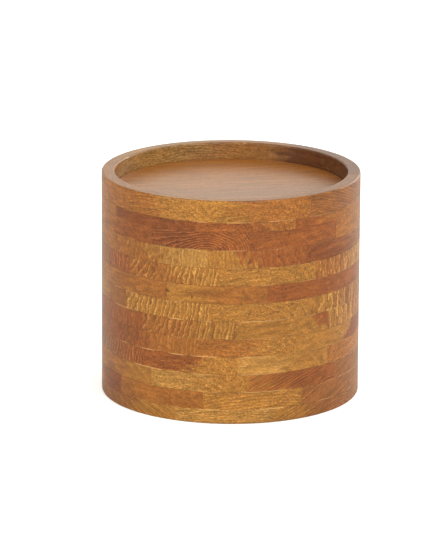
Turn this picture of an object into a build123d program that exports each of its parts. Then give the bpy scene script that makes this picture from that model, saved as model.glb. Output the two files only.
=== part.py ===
from build123d import *

import os
from math import cos, radians, sin, sqrt

# Round wooden spice box (masala dabba) with two tiers of brass cups.
#
# The box and its lid are one drum, glued up from stacked courses of short mango-wood
# boards and turned on a lathe. Every course is a ring of boards butt-jointed end to end,
# and the joints are staggered from course to course. The two top courses are the lid:
# they frame a recessed panel, and a plug ring under the panel drops into the box's mouth.
# Inside, seven brass cups stand on the base panel. A lift-out tray lies on their rims and
# carries six more cups round a brass post with a knob, and a spoon lies on the upper cups.
#
# Millimetres. +Z is up, and the origin is the centre of the face that the box stands on.
# Angles round the box are counted from the front (-Y), counter-clockwise seen from above.

os.makedirs("parts", exist_ok=True)

# ------------------------------------------------------------------ driving dimensions
# the turned drum
outer_diameter = 220.0
wall = 11.0
edge_round = 1.6  # rounding of the rim's two edges
foot_round = 1.4  # rounding of the outer edge at the foot
seam_ease = 0.2  # broken edges where lid and box part

# the courses of boards
boards_per_course = 8
board_thickness = 15.3  # a full course
wall_courses = 10  # full courses on the base course
joint_turns = (20, 33, 8, 3, 30, 3, 37, 16, 40, 35, 8, 29, 37)  # first joint of each course, degrees

# the base
base_panel_thickness = 8.0
base_recess = 1.0  # the base panel sits this far above the foot
base_shoulder = 3.3  # wood left above the base panel's rebate
rebate_width = 4.0  # how far the base panel and the lid panel reach into the wall
glue_gap = 0.1

# the lid
recess_depth = 14.0  # from the rim down to the panel
boss_height = 4.4  # part of the panel that stands up inside the rim course
boss_gap = 0.35  # gap round the boss
boss_ease = 0.8
panel_flange = 8.6  # thickness of the panel's flange, and height of the course round it
plug_height = 9.0
plug_width = 6.5
plug_clearance = 0.4
mouth_ease = 1.0  # lead-in at the box's mouth and on the plug

# the cups
cups_round_centre = 6
cup_gap = 1.5  # between neighbouring cups
cup_wall_clearance = 1.5  # between the outer cups and the bore
cup_metal = 1.0
cup_bead = 1.1  # radius of the rolled rim
cup_taper = 1.6  # the cup's foot is this much smaller in radius than its top
cup_foot_round = 6.0
head_room = 12.0  # over the upper cups, for the spoon and a finger

# the lift-out tray and its post
tray_thickness = 8.0
tray_clearance = 1.0
tray_ease = 1.0
tray_on_cups = 0.2  # clearance between the lower rims and the tray
seat_depth = 2.0
seat_clearance = 0.6
post_flange_radius = 12.0
post_flange_thickness = 2.5
post_radius = 4.0
post_hole_clearance = 0.25
knob_radius = 8.5
knob_head_room = 4.0  # between the knob and the lid panel
knob_collar_radius = 5.5
knob_thread_depth = 7.0
post_stub_radius = 2.5
screw_radius = 2.0
screw_head_radius = 4.0
screw_slot_width = 1.0
screw_slot_depth = 1.0
screw_engagement = 12.0

# the spoon
spoon_bowl_radius = 14.0
spoon_bowl_depth = 7.5
spoon_metal = 1.2
spoon_rim_clearance = 3.8  # between the bowl and the rolled rim of its cup
spoon_tip_clearance = 4.8  # between the handle's tip and the bore
spoon_handle_width = 7.0
spoon_neck_width = 4.5
spoon_on_cups = 0.2

# ------------------------------------------------------------------ worked-out places
outer_radius = outer_diameter / 2
bore_radius = outer_radius - wall
rebate_radius = bore_radius + rebate_width

base_course_height = base_recess + base_panel_thickness + base_shoulder
floor_z = base_recess + base_panel_thickness
mouth_z = base_course_height + wall_courses * board_thickness
rim_course_height = recess_depth + boss_height
rim_course_z = mouth_z + panel_flange
plug_z = mouth_z - plug_height

cup_rim_radius = (bore_radius - cup_wall_clearance - cup_gap) / 3
cup_circle = 2 * cup_rim_radius + cup_gap
cup_top_radius = cup_rim_radius - cup_bead
cup_foot_radius = cup_top_radius - cup_taper
cup_height = (plug_z - floor_z - head_room - tray_thickness - tray_on_cups + seat_depth) / 2

tray_z = floor_z + cup_height + tray_on_cups
tray_top_z = tray_z + tray_thickness
upper_cup_z = tray_top_z - seat_depth
upper_rim_z = upper_cup_z + cup_height
knob_z = mouth_z - knob_head_room - knob_radius
knob_foot_z = knob_z - knob_radius

spoon_bowl_reach = cup_rim_radius - 2 * cup_bead - spoon_bowl_radius - spoon_rim_clearance
bowl_sphere_radius = (spoon_bowl_radius**2 + spoon_bowl_depth**2) / (2 * spoon_bowl_depth)
bowl_sphere_z = spoon_metal - spoon_bowl_depth + bowl_sphere_radius
bowl_inner_radius = sqrt((bowl_sphere_radius - spoon_metal) ** 2 - (bowl_sphere_z - spoon_metal) ** 2)


def on_circle(radius, angle):
    """The point at this angle from the front."""
    return radius * sin(radians(angle)), -radius * cos(radians(angle))


def save(shape, label):
    """Labels a finished piece and writes it as its own STEP file."""
    shape.label = label
    export_step(shape, f"parts/{label}.step")


# ------------------------------------------------------------------ the courses of boards
def course(label, section, joint_turn):
    """Sweeps a section round the axis as a ring of separate boards."""
    board_angle = 360 / boards_per_course
    with BuildPart() as board:
        add(section)
        revolve(axis=Axis.Z, revolution_arc=board_angle)
    boards = []
    for number in range(boards_per_course):
        turn = Location((0, 0, 0), (0, 0, joint_turn - 90 + number * board_angle))
        boards.append(board.part.moved(turn).solid())
        boards[-1].label = f"{label}_board_{number + 1}"
    save(Compound(children=boards), label)


def ring_section(bottom, height, inner_radius):
    """A rectangle from inner_radius to the outside, standing in the XZ plane."""
    with BuildSketch(Plane.XZ) as section:
        with Locations((inner_radius, bottom)):
            Rectangle(outer_radius - inner_radius, height, align=(Align.MIN, Align.MIN))
    return section


# The base course: plain outside, rebated from below for the base panel.
with BuildSketch(Plane.XZ) as base_section:
    add(ring_section(0, base_course_height, bore_radius).sketch)
    with Locations((bore_radius, 0)):
        Rectangle(rebate_width, floor_z, align=(Align.MIN, Align.MIN), mode=Mode.SUBTRACT)
    foot_corner = base_section.vertices().sort_by(Axis.X)[-2:].sort_by(Axis.Z)[0]
    fillet(foot_corner, foot_round)
course("wall_course_01", base_section.sketch, joint_turns[0])

# The full courses. The top one has the box's mouth, with a lead-in for the plug.
for number in range(wall_courses):
    bottom = base_course_height + number * board_thickness
    section = ring_section(bottom, board_thickness, bore_radius)
    if number == wall_courses - 1:
        with BuildSketch(Plane.XZ) as section:
            add(ring_section(bottom, board_thickness, bore_radius).sketch)
            mouth_corners = section.vertices().group_by(Axis.Z)[-1].sort_by(Axis.X)
            chamfer(mouth_corners[0], mouth_ease)
            chamfer(section.vertices().sort_by(Axis.X)[-2:].sort_by(Axis.Z)[-1], seam_ease)
    course(f"wall_course_{number + 2:02d}", section.sketch, joint_turns[number + 1])

with BuildPart() as base_panel:
    with BuildSketch(Plane.XY.offset(base_recess)):
        Circle(rebate_radius - glue_gap)
    extrude(amount=base_panel_thickness)
save(base_panel.part, "base_panel")

# ------------------------------------------------------------------ the lid
with BuildSketch(Plane.XZ) as lid_course_section:
    add(ring_section(mouth_z, panel_flange, rebate_radius).sketch)
    chamfer(lid_course_section.vertices().sort_by(Axis.X)[-2:].sort_by(Axis.Z)[0], seam_ease)
course("lid_course", lid_course_section.sketch, joint_turns[-2])

with BuildSketch(Plane.XZ) as rim_section:
    add(ring_section(rim_course_z, rim_course_height, bore_radius).sketch)
    fillet(rim_section.vertices().group_by(Axis.Z)[-1], edge_round)
course("lid_rim_course", rim_section.sketch, joint_turns[-1])

with BuildPart() as lid_panel:
    with BuildSketch(Plane.XY.offset(mouth_z)):
        Circle(rebate_radius - glue_gap)
    extrude(amount=panel_flange)
    with BuildSketch(Plane.XY.offset(rim_course_z)):
        Circle(bore_radius - boss_gap)
    extrude(amount=boss_height)
    fillet(lid_panel.faces().sort_by(Axis.Z)[-1].edges(), boss_ease)
save(lid_panel.part, "lid_panel")

with BuildPart() as lid_plug:
    with BuildSketch(Plane.XY.offset(plug_z)):
        Circle(bore_radius - plug_clearance)
        Circle(bore_radius - plug_clearance - plug_width, mode=Mode.SUBTRACT)
    extrude(amount=plug_height)
    chamfer(lid_plug.faces().sort_by(Axis.Z)[0].outer_wire().edges(), mouth_ease)
save(lid_plug.part, "lid_plug")

# ------------------------------------------------------------------ the cups
with BuildPart() as cup:
    with BuildSketch(Plane.XZ):
        with BuildLine():
            Polyline(
                (0, 0),
                (cup_foot_radius, 0),
                (cup_top_radius, cup_height - cup_bead),
                (0, cup_height - cup_bead),
                close=True,
            )
        make_face()
    revolve(axis=Axis.Z)
    fillet(cup.edges().filter_by(GeomType.CIRCLE).sort_by(Axis.Z)[0], cup_foot_round)
    offset(amount=-cup_metal, openings=cup.faces().sort_by(Axis.Z)[-1])
    with BuildSketch(Plane.XZ):
        with Locations((cup_top_radius, cup_height - cup_bead)):
            Circle(cup_bead)
    revolve(axis=Axis.Z)

cup_angles = [number * 360 / cups_round_centre for number in range(cups_round_centre)]
save(cup.part.moved(Location((0, 0, floor_z))), "lower_cup_centre")
for number, angle in enumerate(cup_angles, start=1):
    x, y = on_circle(cup_circle, angle)
    save(cup.part.moved(Location((x, y, floor_z))), f"lower_cup_{number}")
    save(cup.part.moved(Location((x, y, upper_cup_z))), f"upper_cup_{number}")

# ------------------------------------------------------------------ the lift-out tray
seat_points = [on_circle(cup_circle, angle) for angle in cup_angles]

with BuildPart() as tray_board:
    with BuildSketch(Plane.XY.offset(tray_z)):
        Circle(bore_radius - tray_clearance)
    extrude(amount=tray_thickness)
    fillet(tray_board.edges().filter_by(GeomType.CIRCLE), tray_ease)
    with Locations(*[(x, y, tray_top_z) for x, y in seat_points]):
        Hole(cup_foot_radius + seat_clearance, depth=seat_depth)
    with Locations(Location((0, 0, tray_z), (180, 0, 0))):
        CounterSinkHole(screw_radius + post_hole_clearance, screw_head_radius + post_hole_clearance)
save(tray_board.part, "tray_board")

with BuildPart() as tray_post:
    with BuildSketch(Plane.XY.offset(tray_top_z)):
        Circle(post_flange_radius)
    extrude(amount=post_flange_thickness)
    fillet(tray_post.edges().sort_by(Axis.Z)[-1], post_flange_thickness / 2)
    with BuildSketch(Plane.XY.offset(tray_top_z)):
        Circle(post_radius)
    extrude(amount=knob_foot_z - tray_top_z)
    with BuildSketch(Plane.XY.offset(knob_foot_z)):
        Circle(post_stub_radius)
    extrude(amount=knob_thread_depth)
    with Locations(Location((0, 0, tray_top_z), (180, 0, 0))):
        Hole(screw_radius + glue_gap, depth=screw_engagement)
save(tray_post.part, "tray_post")

# The knob: a ball on a short collar, bored from below for the post's stub.
with BuildPart() as post_knob:
    with Locations((0, 0, knob_z)):
        Sphere(knob_radius)
    with BuildSketch(Plane.XY.offset(knob_foot_z)):
        Circle(knob_collar_radius)
    extrude(amount=knob_z - knob_foot_z)
    split(bisect_by=Plane.XY.offset(knob_foot_z), keep=Keep.TOP)
    with Locations(Location((0, 0, knob_foot_z), (180, 0, 0))):
        Hole(post_stub_radius + glue_gap, depth=knob_thread_depth + glue_gap)
save(post_knob.part, "post_knob")

# The countersunk screw that holds the post down, with a slot across its head.
with BuildPart() as post_screw:
    with BuildSketch(Plane.XY.offset(tray_z)):
        Circle(screw_head_radius)
    extrude(amount=screw_head_radius - screw_radius, taper=45)
    with BuildSketch(Plane.XY.offset(tray_z)):
        Circle(screw_radius)
    extrude(amount=tray_thickness + screw_engagement - glue_gap)
    with BuildSketch(Plane.XY.offset(tray_z)):
        Rectangle(2 * screw_head_radius, screw_slot_width)
    extrude(amount=screw_slot_depth, mode=Mode.SUBTRACT)
save(post_screw.part, "post_screw")

# ------------------------------------------------------------------ the spoon
# It lies across two neighbouring cups of the upper tier, with the bowl dipping into the
# first, beside the rim towards the second, and the handle's tip close to the bore. It is
# made along +X with its bowl's centre at the origin and its handle's underside at Z 0.
first_cup = Vector(*seat_points[0])
towards_next = (Vector(*seat_points[1]) - first_cup).normalized()
bowl_centre = first_cup + towards_next * spoon_bowl_reach
tip_radius = bore_radius - spoon_tip_clearance
along = bowl_centre.dot(towards_next)
spoon_tip_x = sqrt(along**2 - bowl_centre.length**2 + tip_radius**2) - along

bowl_rim_z = spoon_metal
with BuildPart() as spoon:
    with BuildSketch(Plane.XZ):
        with BuildLine():
            outside = RadiusArc(
                (0, bowl_rim_z - spoon_bowl_depth),
                (spoon_bowl_radius, bowl_rim_z),
                -bowl_sphere_radius,
            )
            inside = RadiusArc(
                (0, bowl_rim_z - spoon_bowl_depth + spoon_metal),
                (bowl_inner_radius, bowl_rim_z),
                -(bowl_sphere_radius - spoon_metal),
            )
            Line(outside @ 0, inside @ 0)
            Line(outside @ 1, inside @ 1)
        make_face()
    revolve(axis=Axis.Z)
    with BuildSketch(Plane.XY):
        with BuildLine():
            neck_x = (spoon_bowl_radius + bowl_inner_radius) / 2
            tip_x = spoon_tip_x - spoon_handle_width / 2
            upper = Line((neck_x, spoon_neck_width / 2), (tip_x, spoon_handle_width / 2))
            lower = Line((neck_x, -spoon_neck_width / 2), (tip_x, -spoon_handle_width / 2))
            ThreePointArc(upper @ 1, (tip_x + spoon_handle_width / 2, 0), lower @ 1)
            Line(lower @ 0, upper @ 0)
        make_face()
    extrude(amount=spoon_metal)

spoon_place = bowl_centre + Vector(0, 0, upper_rim_z + spoon_on_cups)
spoon_heading = Vector(1, 0, 0).get_signed_angle(towards_next, Vector(0, 0, 1))
save(spoon.part.moved(Location(spoon_place, (0, 0, spoon_heading))), "spoon")
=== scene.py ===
# %% [markdown]
# # A spice box turned from sawn boards
#
# The real object is a round wooden box. Courses of short mango-wood boards are glued into a
# drum, and the drum is turned on a lathe, so every board shows how it was sawn from its log:
# straight rungs where the growth rings run into the wood, arches where they lie flat. The
# lid is the top two courses. Inside are brass cups on two levels, a tray and a spoon.
#
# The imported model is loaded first. It fixes where everything is, and the pieces made here
# take their places from it, in metres.

from math import cos, pi, radians, sin

import bpy
import numpy as np
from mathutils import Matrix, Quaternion, Vector


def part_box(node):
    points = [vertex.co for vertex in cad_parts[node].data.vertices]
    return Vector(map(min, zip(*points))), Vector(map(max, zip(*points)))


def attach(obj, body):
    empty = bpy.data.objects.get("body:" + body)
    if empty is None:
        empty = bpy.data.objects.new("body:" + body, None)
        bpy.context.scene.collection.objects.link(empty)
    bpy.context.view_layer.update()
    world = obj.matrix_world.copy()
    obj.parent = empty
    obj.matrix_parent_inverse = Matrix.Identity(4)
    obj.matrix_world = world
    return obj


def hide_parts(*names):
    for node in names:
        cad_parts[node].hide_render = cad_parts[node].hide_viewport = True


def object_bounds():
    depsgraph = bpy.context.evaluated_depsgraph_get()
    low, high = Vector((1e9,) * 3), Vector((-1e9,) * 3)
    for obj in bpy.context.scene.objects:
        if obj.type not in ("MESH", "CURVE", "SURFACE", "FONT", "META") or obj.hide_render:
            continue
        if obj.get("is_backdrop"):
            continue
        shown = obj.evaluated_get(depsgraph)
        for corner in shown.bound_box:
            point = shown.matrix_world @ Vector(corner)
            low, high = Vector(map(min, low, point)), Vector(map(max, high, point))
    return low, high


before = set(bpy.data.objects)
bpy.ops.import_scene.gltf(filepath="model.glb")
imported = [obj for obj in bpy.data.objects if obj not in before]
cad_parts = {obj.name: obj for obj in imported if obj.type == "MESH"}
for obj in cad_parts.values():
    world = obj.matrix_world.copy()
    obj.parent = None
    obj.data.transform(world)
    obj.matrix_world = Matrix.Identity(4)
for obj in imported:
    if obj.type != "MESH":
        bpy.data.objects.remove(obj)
cad_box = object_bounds()
MM = 0.001
chance = np.random.default_rng(13)

# %% [markdown]
# ## Reading sizes from the model
#
# A turned piece is known by its radii and its heights. They could be typed in again, but
# reading them from the model keeps the two files in step, so one helper measures them.


# %% Sizes of the drum
def measured(node):
    """Inner and outer radius and lowest and highest height of a CAD node. A radius is the
    distance of a point from the Z axis, the square root of x squared plus y squared."""
    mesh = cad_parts[node].data
    points = np.empty(3 * len(mesh.vertices))
    mesh.vertices.foreach_get("co", points)
    x, y, z = points.reshape(-1, 3).T
    radius = np.hypot(x, y)
    return radius.min(), radius.max(), z.min(), z.max()


bore, outside, _, _ = measured("wall_course_02")
rim_top = measured("lid_rim_course")[3]
print(f"drum {2 * outside / MM:.1f} mm across, {rim_top / MM:.1f} mm high, bore {2 * bore / MM:.1f} mm")

# %% [markdown]
# ## Making surfaces
#
# Every new piece is a grid of points worked out as whole arrays. `grid_faces` joins any grid
# into quads, and `solid_mesh` puts points and faces into a mesh, so that the pieces below
# only have to say where their points are.


# %% Grids into meshes
def grid_faces(rows, columns, wrap_rows=False, wrap_columns=False):
    """Quads of a grid. Each joins a point to the next in its row, and to the same two in the
    next row. A wrapped direction joins its last line to its first."""
    row = np.arange(rows if wrap_rows else rows - 1)[:, None]
    column = np.arange(columns if wrap_columns else columns - 1)[None, :]
    next_row, next_column = (row + 1) % rows, (column + 1) % columns
    corners = [
        row * columns + column,
        row * columns + next_column,
        next_row * columns + next_column,
        next_row * columns + column,
    ]
    shape = row.size, column.size
    return np.stack([np.broadcast_to(corner, shape) for corner in corners], -1).reshape(-1, 4)


def solid_mesh(name, points, faces, material, smooth_angle=40):
    """An object from points (n, 3) and a list of faces, smooth except across sharp turns."""
    mesh = bpy.data.meshes.new(name)
    mesh.from_pydata(np.asarray(points).tolist(), [], faces)
    mesh.polygons.foreach_set("use_smooth", np.ones(len(mesh.polygons), bool))
    mesh.set_sharp_from_angle(angle=radians(smooth_angle))
    mesh.materials.append(material)
    piece = bpy.data.objects.new(name, mesh)
    bpy.context.scene.collection.objects.link(piece)
    return piece


def paint(piece, name, values):
    """Stores one number, or three, for each point of the piece, for its material to read."""
    values = np.asarray(values, np.float32)
    kind, key = ("FLOAT", "value") if values.ndim == 1 else ("FLOAT_VECTOR", "vector")
    piece.data.attributes.new(name, kind, "POINT").data.foreach_set(key, values.ravel())


def rounded(corners, radii, steps=4, hold=0.3 * MM):
    """An outline with rounded corners. Each corner becomes a Bezier curve of the second
    degree, from one radius before the corner to one radius after it, and a point a little
    further out on each side keeps the straight stretch flat. A radius of 0 leaves a corner
    as it is."""
    corners = np.asarray(corners, float)
    t = np.linspace(0, 1, steps + 1)[:, None]
    outline = []
    neighbours = np.roll(corners, 1, 0), corners, np.roll(corners, -1, 0)
    for before, corner, after, radius in zip(*neighbours, radii):
        if not radius:
            outline.append(corner)
            continue
        back = (before - corner) / np.linalg.norm(before - corner)
        on = (after - corner) / np.linalg.norm(after - corner)
        start, end = corner + back * radius, corner + on * radius
        curve = (1 - t) ** 2 * start + 2 * t * (1 - t) * corner + t**2 * end
        outline += [start + back * hold, *curve, end + on * hold]
    return np.array(outline)


def divided(outline, longest):
    """The same closed outline with its long stretches cut into equal parts."""
    after = np.roll(outline, -1, 0)
    parts = np.maximum(1, np.ceil(np.linalg.norm(after - outline, axis=1) / longest)).astype(int)
    cut = [a + (b - a) * np.arange(n)[:, None] / n for a, b, n in zip(outline, after, parts)]
    return np.concatenate(cut)


# %% [markdown]
# ## How the boards were chosen
#
# The maker picked the boards by eye. The colour runs from golden sapwood to red-brown
# heartwood, often within one board, so each board has one letter for each of its ends. The
# figure depends on how the board was sawn, so it is not painted: it follows from where the
# board lay in its log, which one more letter gives. Boards are listed from a course's first
# joint, counter-clockwise from above, and the first joints are where the model has them.

# %% The boards of each course
BOARDS = 8
FIRST_JOINTS = (20, 33, 8, 3, 30, 3, 37, 16, 40, 35, 8, 29, 37)
TONES = {  # linear colours of the bare, oiled wood
    "G": (0.405, 0.167, 0.026),
    "P": (0.445, 0.205, 0.040),
    "O": (0.360, 0.124, 0.019),
    "R": (0.300, 0.084, 0.014),
    "B": (0.292, 0.099, 0.019),
    "D": (0.250, 0.067, 0.012),
    # K, the darkest, is partly painted shade: on the lid rim's right and back-right boards it darkens the
    # shaded right inner wall of the recess, and outside it is a dark board.
    "K": (0.165, 0.046, 0.008),
}
BOARD_ENDS = (
    "GB BB BO OG GO OB BG PP",
    "BB BO OG GO OO OD OO GG",
    "OR BB BG GG GO OO OG PG",
    "PG OO OR RR OG GB BR RG",
    "GD DD RO OG GO BR RO OG",
    "GR GO OO OG GO OR RR OG",
    "GO BB BG GO OG GB GG GG",
    "RR RO OG GG GR RO OO GO",
    "OG GO OR RO OB BR OG GG",
    "DB BO OG GG GO OO OP GR",
    "RR OO GG GO OR RO OR DR",
    "RO OG GG GO OG OO DD RO",
    # The lid rim: its K boards are partly painted shade on the right inner wall of the recess.
    "BB KK KO OG GO OO OG GO",
)
FIGURES = (
    "lhplslLh",
    "lhsplpph",
    "llprhsps",
    "phlrpsrs",
    "psrhlpfs",
    "pVrsppfr",
    "vrplsprs",
    "pphrsppp",
    "Vlphsrrs",
    "pprshpfF",
    "pphcsppc",
    "phsprpps",
    "Lsphspss",
)
# Where the tone changes inside a board is left to chance, apart from these, by course and
# board: how far along it changes, from -1 to 1, how far the border leans with height, and how
# sharp it is.
BORDERS = {
    (4, 0): (0.5, -0.3, 4),
    (5, 0): (0.8, 0.2, 3),
    (9, 7): (-0.3, 0.2, 1.5),
    (11, 7): (0.55, 0.0, 1),
}
# What each figure means: how far behind and above the board the log's heart lay, in mm, how
# the rings run out along the board, into it and up it, their spacing in mm, how strongly they
# show, and how strongly the pores show as specks. A capital letter is the mirror image.
SAWN = {
    "r": (110, -45, 1.50, 0.00, 6.2, 1.2, 0.7),
    "f": (110, -45, 1.50, 0.00, 6.6, 0.5, 0.5),
    "v": (160, -20, 1.50, 0.00, 14.5, 1.4, 0.3),
    "c": (-4, 8, 0.45, 0.00, 1.9, 1.3, 0.5),
    "l": (26, 60, 0.10, -0.42, 2.3, 0.8, 0.4),
    "h": (18, 48, 0.03, -0.09, 2.2, 0.7, 0.8),
    "s": (60, 40, 0.22, -0.10, 3.0, 0.35, 1.0),
    "p": (90, 30, 0.12, -0.05, 4.2, 0.25, 0.5),
}
# How pale the glue in the joint over each course is, and where round the drum it is palest,
# in degrees from the front. The lid parts over the eleventh course, so there is none there.
GLUE = (
    (0.9, 5),
    (0.6, 30),
    (0.8, -30),
    (0.9, -20),
    (0.2, 0),
    (1.0, -25),
    (0.5, -60),
    (0.3, 40),
    (0.4, 30),
    (0.5, -20),
    (0, 0),
    (0.7, 0),
)


# %% [markdown]
# ## One course as a ring of boards
#
# A course could be one ring with painted joints. Here each board is a closed solid of its
# own, so the joints between boards are real: every board's edges are broken by a fraction of
# a millimetre, and each stands a hair proud of its neighbours or behind them, as wood does
# when it dries after turning. Each point of a board also remembers where it was in the log.


# %% Building a course
EASE = 0.1 * MM  # how far the edges of a board are broken
PROUD = 0.02 * MM  # the most that a board stands out or back
STEPS = 44  # points along a board, between its two broken ends
END_STEPS = np.array([0, 0.3, 0.6, 1, 2])  # where an end has points, in breadths of its edge
BORE_PAINTED_SHADING = (0.86, 1.10, 2.0)  # painted shading of the bore: its red, green and blue against the outside's


def board_points(outline, first, width, proud):
    """Points of one board, (outline, turn, 3): the outline of its section carried round the
    axis. Towards each end the outline is drawn in to its middle, by the square of the
    nearness to the end, which breaks the end's edges."""
    ends = END_STEPS * EASE / outside
    clear = 4 * EASE / outside
    turn = np.concatenate([ends, np.linspace(clear, width - clear, STEPS), width - ends[::-1]])
    nearness = np.clip(1 - np.minimum(turn, width - turn) * outside / EASE, 0, 1)
    middle = outline.mean(0)
    inwards = (middle - outline) / np.linalg.norm(middle - outline, axis=1)[:, None]
    section = outline[:, None] + inwards[:, None] * (EASE * nearness**2)[None, :, None]
    radius, height = section[..., 0], section[..., 1]
    radius = radius + proud * (radius > outside - 2 * MM)
    angle = first + np.broadcast_to(turn, radius.shape)
    return np.stack([radius * np.sin(angle), -radius * np.cos(angle), height], -1)


def place_in_log(points, centre_angle, middle_height, figure):
    """Where the points of a board lay in its log, in mm: along the fibres, and in two
    directions from the log's heart. The board's own length, depth and height are measured
    first, then the rings' run-out is added, as a share of the length."""
    behind, above, into, up = SAWN[figure.lower()][:4]
    x, y, z = np.moveaxis(points, -1, 0) / MM
    along = x * cos(centre_angle) + y * sin(centre_angle)
    depth = outside / MM - (x * sin(centre_angle) - y * cos(centre_angle))
    height = z - middle_height / MM
    if figure.isupper():
        along = -along
    shift = chance.uniform(-400, 400)
    behind = behind * chance.uniform(0.8, 1.2)
    above = above * chance.uniform(0.8, 1.2)
    return np.stack([along + shift, depth + behind + into * along, height + above + up * along], -1)


def glue_at(joint, x, y):
    """How pale a glue joint is at each point: most at its palest place, less by the square of
    the angle from there, and never under a quarter of its most."""
    if not 0 <= joint < len(GLUE):
        return np.zeros_like(x)
    most, place = GLUE[joint]
    angle = np.degrees(np.arctan2(x, -y)) - place
    return most * np.clip(1 - (angle / 60) ** 2, 0.25, 1)


def ring_of_boards(name, node, outline, number, material):
    """A whole course: the outline carried round as eight closed boards, with its numbers for
    the wood, painted shading on the bore included, stored in the points."""
    low, high = measured(node)[2:]
    width = 2 * pi / BOARDS
    rows = len(outline)
    columns = STEPS + 2 * len(END_STEPS)
    all_points, all_faces = [], []
    stored = {key: [] for key in ("sawn", "figure", "along", "left_tone", "right_tone", "joint")}
    quads = grid_faces(rows, columns, wrap_rows=True)
    start_cap = [row * columns for row in range(rows)]
    end_cap = [row * columns + columns - 1 for row in reversed(range(rows))]
    letters = zip(BOARD_ENDS[number].split(), FIGURES[number])
    for board, (ends, figure) in enumerate(letters):
        first = radians(FIRST_JOINTS[number]) + board * width
        points = board_points(outline, first, width, chance.uniform(-PROUD, PROUD))
        shift = board * rows * columns
        all_points.append(points.reshape(-1, 3))
        all_faces += (quads + shift).tolist() + [[v + shift for v in cap] for cap in (start_cap, end_cap)]
        count = rows * columns
        spacing, depth, specks = SAWN[figure.lower()][4:]
        centre = first + width / 2
        stored["sawn"].append(place_in_log(points, centre, (low + high) / 2, figure).reshape(-1, 3))
        stored["figure"].append(np.tile([1 / spacing, depth, specks], (count, 1)))
        x, y, z = np.moveaxis(points, -1, 0)
        by_chance = chance.uniform(-0.35, 0.35), chance.uniform(-0.15, 0.15), 1
        border, lean, sharp = BORDERS.get((number, board), by_chance)
        along = (x * cos(centre) + y * sin(centre)) / (outside * sin(width / 2))
        along = sharp * (along - border + lean * (2 * z - low - high) / (high - low))
        stored["along"].append(along.ravel())
        for side, tone in zip(("left_tone", "right_tone"), ends):
            # Points on the bore get painted shading: the shade of the recess is drawn into their tone.
            inside = (np.hypot(x, y) < bore + 0.8 * MM)[..., None]
            shade = np.where(inside, BORE_PAINTED_SHADING, 1.0) * TONES[tone] * chance.uniform(0.95, 1.05)
            stored[side].append(shade.reshape(-1, 3))
        glue = [glue_at(joint, x, y) for joint in (number - 1, number)]
        glue = np.where(z - low < high - z, *glue)
        stored["joint"].append(np.stack([(z - low) / MM, (high - z) / MM, glue], -1).reshape(-1, 3))
    piece = solid_mesh(name, np.concatenate(all_points), all_faces, material)
    for key, parts in stored.items():
        paint(piece, key, np.concatenate(parts))
    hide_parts(node)
    return piece


# %% [markdown]
# ## Wiring nodes from Python
#
# Shader nodes are usually dragged by hand. In a script the same graph is easier to read as
# arithmetic, so this small class adds a node for each step and hands back its output, ready
# to be used in the next one.


# %% A helper for shader nodes
class Wiring:
    """Adds nodes to a tree, one for each step of a calculation."""

    def __init__(self, tree):
        self.tree = tree

    def add(self, kind, inputs=(), **settings):
        """A node of this kind, with settings on it and values or links on its inputs, which
        are given by name or by number."""
        node = self.tree.nodes.new("ShaderNode" + kind)
        for key, value in settings.items():
            setattr(node, key, value)
        for key, value in dict(inputs).items():
            if isinstance(value, bpy.types.NodeSocket):
                self.tree.links.new(value, node.inputs[key])
            else:
                node.inputs[key].default_value = value
        return node

    def math(self, operation, *values):
        """The result of an operation on numbers."""
        return self.add("Math", enumerate(values), operation=operation).outputs[0]

    def vector(self, operation, *values):
        """The result of an operation on vectors."""
        return self.add("VectorMath", enumerate(values), operation=operation).outputs[0]

    def dot(self, a, b):
        """How far vector a goes in the direction of vector b, times the length of b."""
        return self.add("VectorMath", enumerate((a, b)), operation="DOT_PRODUCT").outputs["Value"]

    def split(self, vector):
        """The three numbers of a vector."""
        return self.add("SeparateXYZ", {0: vector}).outputs

    def joined(self, *values):
        """A vector made of three numbers."""
        return self.add("CombineXYZ", enumerate(values)).outputs[0]

    def noise(self, vector, scale=(1, 1, 1), detail=2, roughness=0.5):
        """Noise from 0 to 1, with the vector first stretched by scale along each axis."""
        stretched = self.vector("MULTIPLY", vector, scale)
        inputs = {"Vector": stretched, "Scale": 1, "Detail": detail, "Roughness": roughness}
        return self.add("TexNoise", inputs).outputs["Fac"]

    def either_way(self, noise, amount):
        """Noise moved to both sides of zero and made larger by an amount."""
        return self.math("MULTIPLY", self.math("SUBTRACT", noise, 0.5), amount)

    def between(self, value, low, high, out_low=0, out_high=1):
        """Rises smoothly from out_low at low to out_high at high, and stays there."""
        inputs = {"Value": value, "From Min": low, "From Max": high}
        inputs |= {"To Min": out_low, "To Max": out_high}
        return self.add("MapRange", inputs, interpolation_type="SMOOTHSTEP").outputs["Result"]

    def blend(self, factor, a, b, kind="MIX"):
        """Colour a, blended by factor with colour b."""
        node = self.add("Mix", {0: factor, 6: a, 7: b}, data_type="RGBA", blend_type=kind)
        return node.outputs[2]

    def lit(self, colour, lightness):
        """A colour made lighter or darker by a number."""
        return self.blend(1.0, colour, self.joined(lightness, lightness, lightness), "MULTIPLY")

    def tinted(self, factor, colour, tint):
        """A colour multiplied by a tint, as far as the factor says."""
        return self.blend(factor, colour, tint, "MULTIPLY")

    def attribute(self, name, output="Vector"):
        """What `paint` stored in the points under this name."""
        return self.add("Attribute", attribute_name=name).outputs[output]


def group(name, inputs, outputs):
    """An empty node group with named sockets, its wiring, and its input and output nodes."""
    tree = bpy.data.node_groups.new(name, "ShaderNodeTree")
    for socket, kind, value in inputs:
        made = tree.interface.new_socket(socket, in_out="INPUT", socket_type="NodeSocket" + kind)
        if value is not None:
            made.default_value = value
    for socket, kind in outputs:
        tree.interface.new_socket(socket, in_out="OUTPUT", socket_type="NodeSocket" + kind)
    given = tree.nodes.new("NodeGroupInput").outputs
    made = tree.nodes.new("NodeGroupOutput").inputs
    return tree, Wiring(tree), given, made


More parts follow.
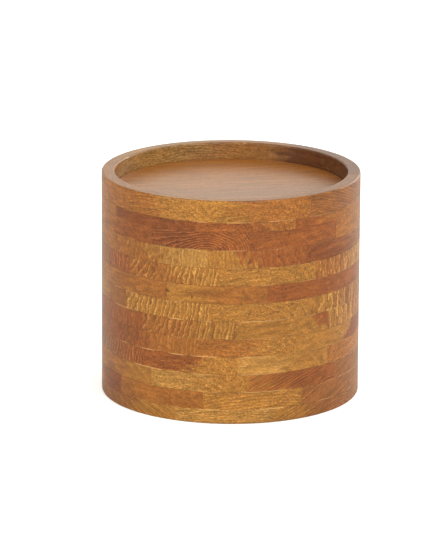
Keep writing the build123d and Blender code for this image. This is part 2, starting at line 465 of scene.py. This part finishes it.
def material(name, **shader_values):
    """A material with one Principled shader, its wiring and the shader's inputs. Values that
    are the same all over go straight on the shader's own sockets."""
    made = bpy.data.materials.new(name)
    made.use_nodes = True
    shader = made.node_tree.nodes["Principled BSDF"]
    for socket, value in shader_values.items():
        shader.inputs[socket.replace("_", " ")].default_value = value
    return made, Wiring(made.node_tree), shader.inputs


# %% [markdown]
# ## Wood that is solid all the way through
#
# A picture of planks would slide over the curved wall. Real rings are nested cylinders round
# the log's heart, and a board shows wherever its surface cuts them. So the group below takes
# a point's place in the log: its distance from the heart says which ring it is in, and the
# rungs, arches and slanted lines follow by themselves. Fibres run along the first axis, so
# every noise is stretched that way, which gives pores that are dashes on a long face and dots
# on an end.


# %% The sawn timber group
timber, w, given, made = group(
    "sawn timber",
    [
        ("Sawn", "Vector", None),
        ("Rings per mm", "Float", 0.4),
        ("Ring Depth", "Float", 0.6),
        ("Specks", "Float", 0.4),
        ("Along", "Float", 0.0),
        ("Left Tone", "Color", (0.45, 0.19, 0.035, 1)),
        ("Right Tone", "Color", (0.40, 0.14, 0.025, 1)),
    ],
    [("Color", "Color"), ("Roughness", "Float"), ("Height", "Float")],
)
place = given["Sawn"]
_, depth, height = w.split(place)

# How many rings lie between a point and the heart, pushed about by slow and by ragged noise.
squares = w.math("MULTIPLY", depth, depth), w.math("MULTIPLY", height, height)
heart = w.math("SQRT", w.math("ADD", *squares))
waver = w.either_way(w.noise(place, (0.03, 0.09, 0.09)), 2.2)
ragged = w.either_way(w.noise(place, (0.3, 0.8, 0.8), 3), 0.6)
uneven = w.math("MULTIPLY", w.noise(w.joined(heart, 0.0, 0.0), (0.12, 1, 1), 1), 1.6)
counted = w.math("ADD", w.math("MULTIPLY", heart, given["Rings per mm"]), uneven)
ring = w.math("FRACT", w.math("ADD", counted, w.math("ADD", waver, ragged)))

# Late wood is a dark line that starts softly and ends sharply, with pale early wood after it.
late = w.math("MULTIPLY", w.between(ring, 0.45, 0.86), w.between(ring, 0.98, 0.90))
early = w.math("MULTIPLY", w.between(ring, 0.0, 0.06), w.between(ring, 0.26, 0.1))
patches = w.between(w.noise(place, (0.03, 0.09, 0.09), 2), 0.34, 0.6, 0.4, 1.0)
strength = w.math("MULTIPLY", given["Ring Depth"], patches)

# The tone changes from one end's to the other's at a ragged border that follows the fibres.
border = w.math("ADD", given["Along"], w.either_way(w.noise(place, (0.03, 0.16, 0.16), 3), 2.2))
tone = w.blend(w.between(border, -0.35, 0.35), given["Left Tone"], given["Right Tone"])
tone = w.lit(tone, w.between(w.noise(place, (0.03, 0.3, 0.3), 4, 0.65), 0.3, 0.7, 0.76, 1.2))
darkness = w.math("MULTIPLY", late, w.math("MULTIPLY", strength, 0.5))
tone = w.tinted(darkness, tone, (0.42, 0.33, 0.30, 1))
tone = w.tinted(w.math("MULTIPLY", early, strength), tone, (1.65, 1.95, 2.8, 1))

# Pores are dark dashes along the fibres, and the specks are the same wood's fine mottle.
pores = w.between(w.noise(place, (0.3, 2.2, 2.2), 1), 0.60, 0.72)
mottle = w.noise(place, (0.4, 1.1, 1.1), 4, 0.7)
flecks = w.either_way(w.noise(place, (0.9, 1.5, 1.5), 1), w.math("MULTIPLY", given["Specks"], 1.3))
mottling = w.math("ADD", w.math("MULTIPLY", given["Specks"], 2.2), 0.6)
tone = w.lit(tone, w.math("ADD", w.math("ADD", 1.0, flecks), w.either_way(mottle, mottling)))
tone = w.tinted(w.math("MULTIPLY", pores, 0.6), tone, (0.45, 0.34, 0.28, 1))

w.tree.links.new(tone, made["Color"])
gloss = w.math("ADD", w.math("MULTIPLY", mottle, 0.16), w.math("MULTIPLY", pores, 0.15))
w.tree.links.new(w.math("ADD", gloss, 0.26), made["Roughness"])
hollows = w.math("MULTIPLY", late, w.math("MULTIPLY", strength, -0.25))
relief = w.math("ADD", hollows, w.math("MULTIPLY", pores, -0.6))
w.tree.links.new(w.math("ADD", relief, w.math("MULTIPLY", mottle, 0.3)), made["Height"])
print("sawn timber:", len(timber.nodes), "nodes")

# %% [markdown]
# ## The boards' finish
#
# The wall is oiled and lacquered to a satin. The numbers stored in each board's points feed
# the timber group, and the glue joints are drawn over it: a pale line where glue has been
# squeezed out between courses, strong in one place and gone in the next. A few small knots
# are typed in by their angle from the front, their height and their size in mm.

# %% Boards
KNOTS = (
    (8, 140, 2.0),
    (21, 144, 1.5),
    (28, 137, 1.5),
    (-29, 112, 2.4),
    (-17, 109, 1.6),
    (128, 66, 2.2),
    (-150, 97, 2.0),
)
board_wood, w, shader = material("board_wood", IOR=1.4)
sawn = w.attribute("sawn")
rings_per_mm, ring_depth, specks = w.split(w.attribute("figure"))
wood = w.add(
    "Group",
    {
        "Sawn": sawn,
        "Rings per mm": rings_per_mm,
        "Ring Depth": ring_depth,
        "Specks": specks,
        "Along": w.attribute("along", "Fac"),
        "Left Tone": w.attribute("left_tone", "Color"),
        "Right Tone": w.attribute("right_tone", "Color"),
    },
    node_tree=timber,
).outputs
here = w.vector("SCALE", w.add("TexCoord").outputs["Object"])
here.node.inputs["Scale"].default_value = 1 / MM
below, above, glue = w.split(w.attribute("joint"))
nearest = w.math("MINIMUM", below, above)
broken = w.between(w.noise(here, (0.05, 0.05, 0.02), 2), 0.42, 0.6)
glue_line = w.math("MULTIPLY", w.math("MULTIPLY", w.between(nearest, 0.55, 0.2), broken), glue)
shadow_line = w.math("MULTIPLY", w.between(nearest, 0.4, 0.1), w.math("SUBTRACT", 1.0, glue_line))
stain = w.between(w.noise(here, (0.018, 0.018, 0.03), 3), 0.3, 0.7, 0.93, 1.07)
colour = w.lit(wood["Color"], stain)
for degrees, height, size in KNOTS:
    spot = (outside / MM * sin(radians(degrees)), -outside / MM * cos(radians(degrees)), height)
    away = w.add("VectorMath", {0: here, 1: spot}, operation="DISTANCE").outputs["Value"]
    away = w.math("ADD", away, w.either_way(w.noise(here, (0.5, 0.5, 0.5), 3), 2.5 * size))
    colour = w.blend(w.between(away, size, 0.2 * size, 0, 0.75), colour, (0.09, 0.025, 0.008, 1))
colour = w.blend(w.math("MULTIPLY", shadow_line, 0.35), colour, (0.12, 0.04, 0.012, 1))
colour = w.blend(w.math("MULTIPLY", glue_line, 0.8), colour, (0.80, 0.47, 0.16, 1))
w.tree.links.new(colour, shader["Base Color"])
w.tree.links.new(wood["Roughness"], shader["Roughness"])
bump = w.add("Bump", {"Height": wood["Height"], "Strength": 0.5, "Distance": 0.06 * MM})
w.tree.links.new(bump.outputs[0], shader["Normal"])

# %% [markdown]
# ## The wall and the lid's rim
#
# Each course has its own section. Most are plain rectangles with broken edges. The lowest is
# rounded at the foot and cut back inside for the base, the highest wall course has the mouth,
# and the lid's rim is rounded over on both sides.

# %% Courses
rebate = measured("lid_course")[0]
floor_height = measured("base_panel")[3]
EDGE = 0.22 * MM
FOOT_ROUND = 1.4 * MM
RIM_ROUND = 1.6 * MM
MOUTH_EASE = 1.0 * MM
ROW = 2.2 * MM  # the longest flat stretch of a section without a point
wall_nodes = [f"wall_course_{number:02d}" for number in range(1, 12)]
course_nodes = [*wall_nodes, "lid_course", "lid_rim_course"]
for number, node in enumerate(course_nodes):
    inner, outer, low, high = measured(node)
    corners = [(inner, low), (outer, low), (outer, high), (inner, high)]
    radii = [EDGE, EDGE, EDGE, EDGE]
    if node == wall_nodes[0]:
        corners = [(rebate, low), *corners[1:], (inner, floor_height), (rebate, floor_height)]
        radii = [EDGE, FOOT_ROUND, EDGE, EDGE, EDGE, EDGE]
    elif node == wall_nodes[-1]:
        radii = [EDGE, EDGE, EDGE, MOUTH_EASE]
    elif node == "lid_rim_course":
        radii = [EDGE, EDGE, RIM_ROUND, RIM_ROUND]
    outline = divided(rounded(corners, radii), ROW)
    piece = ring_of_boards(f"boards_{number + 1:02d}", node, outline, number, board_wood)
    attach(piece, "lid" if node.startswith("lid") else "box")
print("boards:", len(course_nodes) * BOARDS, "of", len(outline), "rows in the rim")

# %% [markdown]
# ## Turned pieces
#
# Cups, knob, post and panels were all made on a lathe, and so are they here. A profile is a
# line of points, each a radius and a height, and the lathe carries it round an axis. Where a
# profile starts and ends on the axis, one point closes the surface there, without a hole.


# %% A lathe
def lathe(name, profile, material, axis=(0, 0), segments=96, smooth_angle=40):
    """Carries a profile of (radius, height) points round an upright axis. A profile that
    touches the axis is closed there with triangles. Any other is taken as a closed loop."""
    profile = np.asarray(profile, float)
    solid = profile[0, 0] == 0
    rows = profile[1:-1] if solid else profile
    turn = np.linspace(0, 2 * pi, segments, endpoint=False)
    radius, height = rows[:, :1], rows[:, 1:]
    ring = [radius * np.cos(turn), radius * np.sin(turn), height + 0 * turn]
    points = np.stack(ring, -1).reshape(-1, 3)
    faces = grid_faces(len(rows), segments, wrap_rows=not solid, wrap_columns=True).tolist()
    if solid:
        last = len(points) - segments
        for column in range(segments):
            onward = (column + 1) % segments
            faces.append([len(points), onward, column])
            faces.append([len(points) + 1, last + column, last + onward])
        points = np.concatenate([points, [[0, 0, profile[0, 1]], [0, 0, profile[-1, 1]]]])
    piece = solid_mesh(name, points + [*axis, 0], faces, material, smooth_angle)
    paint(piece, "turned", points / MM)
    return piece


# %% [markdown]
# ## Panels, plug and tray
#
# These are each cut from one board, so they share the timber group but need no stored
# numbers: a point's own coordinates, turned to the direction of the fibres and moved away
# from the log's heart, are its place in the log. The lid's panel has the deepest polish, and
# at a low angle it mirrors the rim's inner wall behind it and the bright room in front.


# %% Wood from one board
def one_board(name, fibres, heart, rings_per_mm, ring_depth, specks, tones, gloss=0.0, **shader_values):
    """Timber for a piece cut from one board. Fibres run along a direction in the plan, and
    the log's heart lay at heart, two distances in mm, across the fibres and below."""
    made, w, shader = material(name, **shader_values)
    here = w.vector("MULTIPLY", w.add("TexCoord").outputs["Object"], (1 / MM, 1 / MM, 1 / MM))
    x, y = fibres
    place = w.joined(w.dot(here, (x, y, 0)), w.dot(here, (-y, x, 0)), w.dot(here, (0, 0, 1)))
    inputs = {"Rings per mm": rings_per_mm, "Ring Depth": ring_depth, "Specks": specks}
    for side, tone in zip(("Left", "Right"), tones):
        inputs[f"{side} Tone"] = (*TONES[tone], 1)
    inputs["Sawn"] = w.vector("ADD", place, (0, *heart))
    inputs["Along"] = w.math("MULTIPLY", w.dot(here, (-y, x, 0)), 0.02)
    wood = w.add("Group", inputs, node_tree=timber).outputs
    w.tree.links.new(wood["Color"], shader["Base Color"])
    w.tree.links.new(w.math("SUBTRACT", wood["Roughness"], gloss), shader["Roughness"])
    bump = w.add("Bump", {"Height": wood["Height"], "Strength": 0.3, "Distance": 0.05 * MM})
    w.tree.links.new(bump.outputs[0], shader["Normal"])
    return made


lid_wood = one_board("lid_wood", (0.97, 0.24), (260, 90), 0.14, 0.25, 0.1, "BO", gloss=0.03, IOR=1.6)
plug_wood = one_board("plug_wood", (1, 0), (120, 60), 0.3, 0.4, 0.5, "OO")
tray_wood = one_board("tray_wood", (0.5, 0.87), (70, 30), 0.22, 0.7, 0.5, "OG")
base_wood = one_board("base_wood", (1, 0), (40, 45), 0.25, 0.6, 0.4, "RO")

# %% Lid panel and plug
_, flange, low, high = measured("lid_panel")
boss = bore - 0.35 * MM
step = measured("lid_rim_course")[2]
corners = [(0, low), (flange, low), (flange, step), (boss, step), (boss, high), (0, high)]
outline = rounded(corners, [0, 0.3 * MM, 0.3 * MM, 0, 0.8 * MM, 0])
panel = lathe("lid_panel_wood", outline, lid_wood, segments=192)
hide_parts("lid_panel")
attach(panel, "lid")

inner, outer, low, high = measured("lid_plug")
corners = [(inner, low), (outer, low), (outer, high), (inner, high)]
outline = rounded(corners, [0.4 * MM, MOUTH_EASE, 0.2 * MM, 0.2 * MM])
plug = lathe("lid_plug_wood", outline, plug_wood, segments=192)
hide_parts("lid_plug")
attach(plug, "lid")


def dress(node, material):
    """Gives a CAD node whose own mesh is kept its material."""
    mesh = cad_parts[node].data
    mesh.materials.clear()
    mesh.materials.append(material)


dress("tray_board", tray_wood)
dress("base_panel", base_wood)

# %% [markdown]
# ## Brass
#
# Spun cups keep the rings of the spinning tool, and brass that is handled daily goes dull and
# brown where fingers do not polish it. The group reads a point's place on its own lathe: its
# distance from the axis and its height.

# %% The spun brass group
brass_group, w, given, made = group(
    "spun brass",
    [("Turned", "Vector", None), ("Rings", "Float", 0.5), ("Tarnish", "Float", 0.4)],
    [("Color", "Color"), ("Roughness", "Float"), ("Height", "Float")],
)
x, y, z = w.split(given["Turned"])
from_axis = w.math("ADD", w.math("MULTIPLY", x, x), w.math("MULTIPLY", y, y))
from_axis = w.math("SQRT", from_axis)
tool_marks = w.noise(w.joined(from_axis, 0.0, z), (1.6, 1, 1.6), 3, 0.7)
cloud = w.noise(given["Turned"], (0.09, 0.09, 0.09), 4, 0.6)
low_down = w.between(z, 14, 0, 0, 0.25)
dull = w.between(w.math("ADD", cloud, low_down), 0.46, 0.78)
dull = w.math("MULTIPLY", dull, given["Tarnish"])
spots = w.between(w.noise(given["Turned"], (0.7, 0.7, 0.7), 2), 0.66, 0.74)
spots = w.math("MULTIPLY", spots, given["Tarnish"])
colour = w.blend(dull, (0.80, 0.52, 0.19, 1), (0.42, 0.24, 0.08, 1))
colour = w.blend(spots, colour, (0.25, 0.13, 0.05, 1))
w.tree.links.new(colour, made["Color"])
gloss = w.math("ADD", w.math("MULTIPLY", tool_marks, w.math("MULTIPLY", given["Rings"], 0.2)), 0.14)
gloss = w.math("ADD", gloss, w.math("MULTIPLY", w.math("ADD", dull, spots), 0.22))
w.tree.links.new(gloss, made["Roughness"])
w.tree.links.new(w.math("MULTIPLY", tool_marks, given["Rings"]), made["Height"])


def brass(name, rings, tarnish):
    """Brass with so much of the tool's rings and so much tarnish."""
    made, w, shader = material(name, Metallic=1.0)
    inputs = {"Turned": w.attribute("turned"), "Rings": rings, "Tarnish": tarnish}
    spun = w.add("Group", inputs, node_tree=brass_group).outputs
    w.tree.links.new(spun["Color"], shader["Base Color"])
    w.tree.links.new(spun["Roughness"], shader["Roughness"])
    bump = w.add("Bump", {"Height": spun["Height"], "Strength": 0.25, "Distance": 0.05 * MM})
    w.tree.links.new(bump.outputs[0], shader["Normal"])
    return made


cup_brass = brass("cup_brass", 0.8, 0.45)
knob_brass = brass("knob_brass", 0.35, 0.3)
spoon_brass = brass("spoon_brass", 0.0, 0.35)
print("brass materials:", cup_brass.name, knob_brass.name, spoon_brass.name)

# %% [markdown]
# ## Thirteen cups
#
# One profile serves them all. It starts in the middle of the underside, which is dished a
# little so that the cup stands on a ring, goes up the outside, over the rolled rim and down
# the inside.

# %% Cups
METAL = 1.0 * MM  # the thickness of the sheet
BEAD = 1.1 * MM  # radius of the rolled rim
FLARE = 1.6 * MM  # how much wider a cup is at the rim than at the foot, in radius
ROUND = 6 * MM  # between the underside and the side
DISH = 0.35 * MM  # how far the middle of the underside is pushed up
RIDGE = 48 * MM  # where a fine raised line runs round the side
_, widest, cup_low, cup_high = measured("lower_cup_centre")
cup_height = cup_high - cup_low
top_radius = widest - BEAD
foot_radius = top_radius - FLARE
wall_lean = FLARE / (cup_height - BEAD)
roll = np.linspace(0.15 * pi, 1.75 * pi, 15)
bead = [(top_radius + BEAD * sin(t), cup_height - BEAD - BEAD * cos(t)) for t in roll]
quarter = np.linspace(0, pi / 2, 12)
outer_foot = [(foot_radius - ROUND + ROUND * sin(t), ROUND - ROUND * cos(t)) for t in quarter]
inner_foot = [(r - METAL * sin(t), z + METAL * cos(t)) for (r, z), t in zip(outer_foot, quarter)]
dish = [(6 * MM, DISH), (14 * MM, 0.32 * MM), (19 * MM, 0.12 * MM)]
ridge = ((0, 0), (0.6 * MM, 0.12 * MM), (1.4 * MM, 0.12 * MM), (2 * MM, 0))
ridge = [(foot_radius + (RIDGE + up) * wall_lean + out, RIDGE + up) for up, out in ridge]
cup_profile = [(0, DISH), *dish, *outer_foot, *ridge, *bead]
cup_profile += [(foot_radius - METAL + RIDGE * wall_lean, RIDGE), *reversed(inner_foot)]
cup_profile += [(r, z + METAL) for r, z in reversed(dish)] + [(0, DISH + METAL)]
cup_nodes = [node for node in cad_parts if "_cup_" in node]
for node in cup_nodes:
    (x0, y0, z0), (x1, y1, _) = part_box(node)
    axis = (x0 + x1) / 2, (y0 + y1) / 2
    profile = np.array(cup_profile) + [0, z0]
    cup = lathe(f"{node}_brass", profile, cup_brass, axis=axis, segments=80)
    spun = np.empty(3 * len(cup.data.vertices), np.float32)
    cup.data.vertices.foreach_get("co", spun)
    spun = (spun.reshape(-1, 3) - [*axis, z0]) / MM
    cup.data.attributes["turned"].data.foreach_set("vector", spun.astype(np.float32).ravel())
    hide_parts(node)
    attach(cup, node)
print(len(cup_nodes), "cups,", len(cup_profile), "points in their profile")

# %% Post, knob and screw
KNOB = 8.5 * MM  # radius of the ball
COLLAR = 5.5 * MM  # radius of the flat under the ball
FLANGE = 12 * MM
STEM = 4 * MM
STUB = 2.5 * MM  # the thinner top of the post, which goes up into the knob
SCREW_HOLE = 2.1 * MM
deck = measured("tray_board")[3]
knob_top = measured("post_knob")[3]
knob_middle = knob_top - KNOB
knob_foot = knob_middle - KNOB
stub_top = measured("tray_post")[3]
hole_top = deck + 12 * MM
flange_top = deck + 2.5 * MM
corners = [(0, hole_top), (SCREW_HOLE, hole_top), (SCREW_HOLE, deck), (FLANGE, deck)]
corners += [(FLANGE, flange_top), (STEM, flange_top), (STEM, knob_foot), (STUB, knob_foot)]
corners += [(STUB, stub_top), (0, stub_top)]
post_profile = rounded(corners, [0, 0, 0, 0.2 * MM, 1.25 * MM, 0.6 * MM, 0, 0, 0.3 * MM, 0])
post = lathe("tray_post_brass", post_profile, knob_brass)
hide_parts("tray_post")
turn = np.linspace(-np.arccos(COLLAR / KNOB), pi / 2, 30)[:-1]
arc = [(KNOB * cos(t), knob_middle + KNOB * sin(t)) for t in turn]
bore_end = knob_foot + 7.1 * MM
corner = 0.3 * MM
knob_profile = [(0, bore_end), (STUB + 0.1 * MM, bore_end), (STUB + 0.1 * MM, knob_foot)]
knob_profile += [(COLLAR - corner, knob_foot), (COLLAR, knob_foot + corner), *arc, (0, knob_top)]
knob = lathe("post_knob_brass", knob_profile, knob_brass)
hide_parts("post_knob")
for piece in (post, knob):
    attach(piece, "tray")

steel, w, shader = material("screw_steel", Metallic=1.0, Base_Color=(0.55, 0.54, 0.52, 1))
marks = w.noise(w.add("TexCoord").outputs["Object"], (900, 900, 900), 3)
w.tree.links.new(w.between(marks, 0.3, 0.7, 0.25, 0.45), shader["Roughness"])
dress("post_screw", steel)

# %% [markdown]
# ## The spoon
#
# A pressed spoon is one sheet of brass: a round bowl and a flat handle that widens to its
# tip. Its plan is a half width at every station along it, its bowl is a cap of a sphere, and
# each cross-section is closed all round, so the sheet has its real thickness.

# %% Spoon
BOWL = 14 * MM  # its radius
BOWL_DEPTH = 7.5 * MM
SHEET = 1.2 * MM
EDGE_ROUND = 0.6 * MM
HANDLE = 2.25 * MM  # half the handle's width where it leaves the bowl
WIDENING = 1.25 * MM
TIP_ROUND = 3.5 * MM
STATIONS = 140
ACROSS = 33
spoon_points = np.empty(3 * len(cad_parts["spoon"].data.vertices))
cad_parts["spoon"].data.vertices.foreach_get("co", spoon_points)
spoon_points = spoon_points.reshape(-1, 3)
onward = np.array([cos(radians(30)), sin(radians(30))])  # the way the handle points
sideways = np.array([-onward[1], onward[0]])
along, across = spoon_points[:, :2] @ onward, spoon_points[:, :2] @ sideways
spoon_length = along.max() - along.min()
spoon_top = spoon_points[:, 2].max()
bowl_centre = (along.min() + BOWL) * onward + (across.max() + across.min()) / 2 * sideways
tip = spoon_length - BOWL

# Stations from the bowl's end to the tip, closer together at both, and the half width at each.
share = (1 - np.cos(np.linspace(0, pi, STATIONS))) / 2
station = -BOWL + spoon_length * share
in_bowl = np.sqrt(np.maximum(BOWL**2 - station**2, 0))
handle = HANDLE + (station - BOWL) / (tip - BOWL) * WIDENING
into_tip = np.clip((station - tip + TIP_ROUND) / TIP_ROUND, 0, 1)
handle = np.where(station > 0, handle, 0) * np.sqrt(1 - into_tip**2)
half = np.maximum((in_bowl**4 + handle**4) ** 0.25, 0.02 * MM)[:, None]

# Points across each station, closer together at the edges, and the sheet's two faces there.
side = half * np.sin(np.sin(np.linspace(-pi / 2, pi / 2, ACROSS)) * pi / 2)
from_centre = np.hypot(station[:, None], side) / BOWL
dip = (BOWL_DEPTH - SHEET) * np.clip(1 - from_centre**2, 0, 1)
flat = np.maximum(half - EDGE_ROUND, 0)
into_edge = np.maximum(np.abs(side) - flat, 0) / (half - flat)
edge = np.sqrt(np.clip(1 - into_edge**2, 0.002, 1))
ends = np.clip(np.minimum(share, 1 - share) * 60, 0, 1) ** 0.5
thick = SHEET * edge * ends[:, None]
middle = -dip - SHEET / 2
upper, lower = middle + thick / 2, middle - thick / 2
across = np.concatenate([side[:, ::-1], side[:, 1:-1]], 1)
height = np.concatenate([upper[:, ::-1], lower[:, 1:-1]], 1)
count = across.shape[1]
x = bowl_centre[0] + station[:, None] * onward[0] + across * sideways[0]
y = bowl_centre[1] + station[:, None] * onward[1] + across * sideways[1]
mesh_points = np.stack([x, y, spoon_top + height], -1).reshape(-1, 3)
faces = grid_faces(STATIONS, count, wrap_columns=True).tolist()
faces += [list(range(count))[::-1], [len(mesh_points) - count + k for k in range(count)]]
spoon = solid_mesh("spoon_brass_sheet", mesh_points, faces, spoon_brass, smooth_angle=50)
paint(spoon, "turned", (mesh_points - [*bowl_centre, spoon_top]) / MM)
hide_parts("spoon")
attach(spoon, "spoon")
print(f"spoon {spoon_length / MM:.1f} mm long")

# %% [markdown]
# ## Stage, light and camera
#
# The floor is a plain sheet, white to the camera and light grey to the wood, under a white
# studio that is palest behind and to the right. The largest soft light stands in front, at
# the right and above, a weaker one in front at the left, and the third behind at the right,
# where it pales the wall's right edge. The camera looks down by fifteen degrees from far
# away through a long lens.

# %% Stage and light
floor_paint, w, shader = material("floor_paint", Base_Color=(0.9, 0.9, 0.9, 1), Roughness=0.9)
shader["Emission Color"].default_value = (1, 1, 1, 1)
shader["Emission Strength"].default_value = 0.45
seen = w.add("LightPath").outputs["Is Camera Ray"]
dim = w.add("BsdfDiffuse", {"Color": (0.78, 0.78, 0.78, 1)}).outputs[0]
bright = w.tree.nodes["Principled BSDF"].outputs[0]
both = w.add("MixShader", {0: seen, 1: dim, 2: bright}).outputs[0]
w.tree.links.new(both, w.tree.nodes["Material Output"].inputs["Surface"])
FLOOR_HALF = 4
corners = [(-1, -1, 0), (1, -1, 0), (1, 1, 0), (-1, 1, 0)]
floor = solid_mesh("floor", FLOOR_HALF * np.array(corners, float), [[0, 1, 2, 3]], floor_paint)
floor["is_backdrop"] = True

world = bpy.data.worlds.new("studio")
bpy.context.scene.world = world
world.use_nodes = True
w = Wiring(world.node_tree)
pale_side = w.dot(w.add("TexCoord").outputs["Generated"], (0.3, 1, 0))
background = w.tree.nodes["Background"].inputs
background["Color"].default_value = (1, 0.99, 0.88, 1)
w.tree.links.new(w.between(pale_side, 0.1, 1.0, 0.5, 1.38), background["Strength"])
bpy.context.scene.view_settings.view_transform = "Standard"


def area_light(name, size, power, place, target=(0, 0, 0.1)):
    """A square light at a place, turned to face a target."""
    data = bpy.data.lights.new(name, "AREA")
    data.size, data.energy = size, power
    lamp = bpy.data.objects.new(name, data)
    lamp.location = place
    lamp.rotation_euler = (Vector(target) - Vector(place)).to_track_quat("-Z", "Y").to_euler()
    bpy.context.scene.collection.objects.link(lamp)


area_light("key", 2.6, 60, (1.3, -2.4, 1.8))
area_light("fill", 2.2, 31, (-2.3, -1.9, 1.3))
area_light("edge", 1.9, 30, (1.8, 1.8, 0.9))

# %% Camera
eye, aim = Vector((-0.0133, -3.552, 1.066)), Vector((-0.0133, 0, 0.1052))
lens = bpy.data.cameras.new("camera")
lens.lens, lens.sensor_width = 288.7, 36
lens.clip_start, lens.clip_end = 0.1, 30
camera = bpy.data.objects.new("camera", lens)
camera.location = eye
facing = (aim - eye).to_track_quat("-Z", "Y")
camera.rotation_euler = (facing @ Quaternion((0, 0, 1), radians(0.28))).to_euler()
bpy.context.scene.collection.objects.link(camera)
bpy.context.scene.camera = camera

# %% Finish
full_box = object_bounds()
beyond = [[round((a - b) / MM, 2) for a, b in zip(p, q)] for p, q in zip(full_box, cad_box)]
print("visual against CAD, mm:", beyond)
